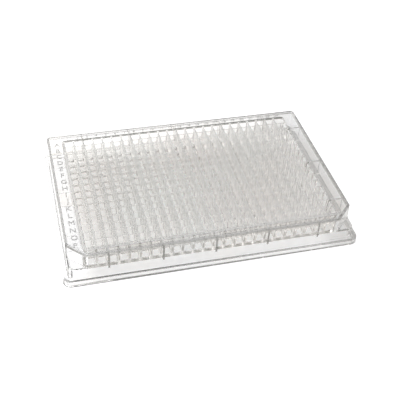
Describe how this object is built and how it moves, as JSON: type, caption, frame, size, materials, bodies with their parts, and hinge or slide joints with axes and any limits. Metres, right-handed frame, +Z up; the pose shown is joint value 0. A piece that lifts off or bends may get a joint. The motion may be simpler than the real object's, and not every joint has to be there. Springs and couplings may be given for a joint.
{
  "type": "well plate",
  "caption": "Clear moulded microplate: a flanged tray with a raised deck, a dense grid of small square wells and two cut corners.",
  "frame": {"origin": "centre of the footprint, on the surface that the plate stands on", "axes": "+X along the rows from column 1 to column 24, +Y from row P to row A, +Z up out of the wells"},
  "size_m": [0.1278, 0.0854, 0.0143],
  "materials": {
    "clear_polystyrene": "clear, glossy moulded polystyrene"
  },
  "bodies": {
    "root": {"well_plate": "clear_polystyrene"}
  },
  "joints": []
}
